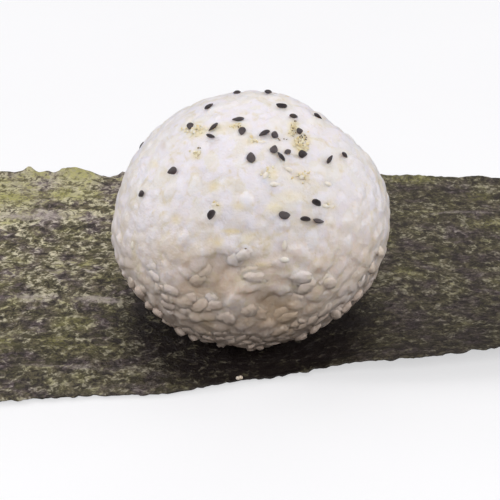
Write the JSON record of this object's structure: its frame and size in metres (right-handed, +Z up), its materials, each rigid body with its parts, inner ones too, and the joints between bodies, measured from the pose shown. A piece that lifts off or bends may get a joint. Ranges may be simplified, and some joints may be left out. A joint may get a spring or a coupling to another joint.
{
  "type": "seeded rice ball on a seaweed strip",
  "caption": "Hand-pressed ball of white rice with black sesame seeds, resting on a wide strip of dried seaweed whose edges curl up.",
  "frame": {"origin": "middle of the part's outline, on the surface that the seaweed strip lies on", "axes": "+X along the strip, +Y from the ball's front to its back, +Z up"},
  "size_m": [0.19, 0.1082, 0.0618],
  "materials": {
    "rice": "moist cooked rice",
    "seaweed": "dry, faintly glossy"
  },
  "bodies": {
    "root": {"rice_ball": "rice", "nori_strip": "seaweed"}
  },
  "joints": []
}
